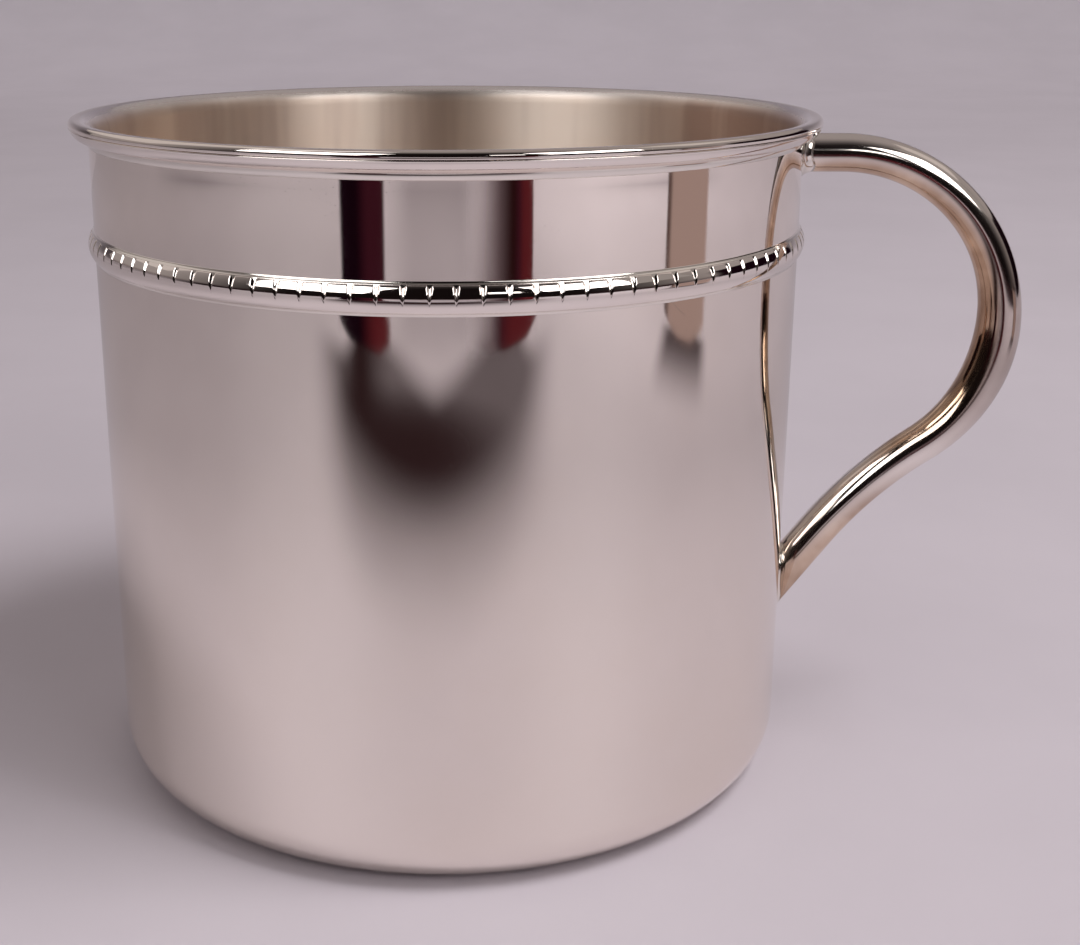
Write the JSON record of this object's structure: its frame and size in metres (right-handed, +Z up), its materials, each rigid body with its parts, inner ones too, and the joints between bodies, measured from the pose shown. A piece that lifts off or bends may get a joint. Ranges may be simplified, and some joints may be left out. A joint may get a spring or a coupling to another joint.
{
  "type": "baby cup",
  "caption": "Small straight-sided silver cup with a turned lip, a notched bead wire round the wall and a round-wire loop handle.",
  "frame": {"origin": "middle of the flat base, on the surface that the cup stands on", "axes": "+Z up along the cup's axis, +X towards the handle"},
  "size_m": [0.0979, 0.076, 0.067],
  "materials": {
    "polished_silver": "mirror-polished silver outside, satin inside",
    "silver_solder": "polished silver solder, slightly yellower than the sheet"
  },
  "bodies": {
    "root": {"cup_body": "polished_silver", "rim_wire": "polished_silver", "rim_solder": "silver_solder", "bead_wire": "polished_silver", "bead_solder": "silver_solder", "handle": "polished_silver", "handle_upper_solder": "silver_solder", "handle_lower_solder": "silver_solder"}
  },
  "joints": []
}
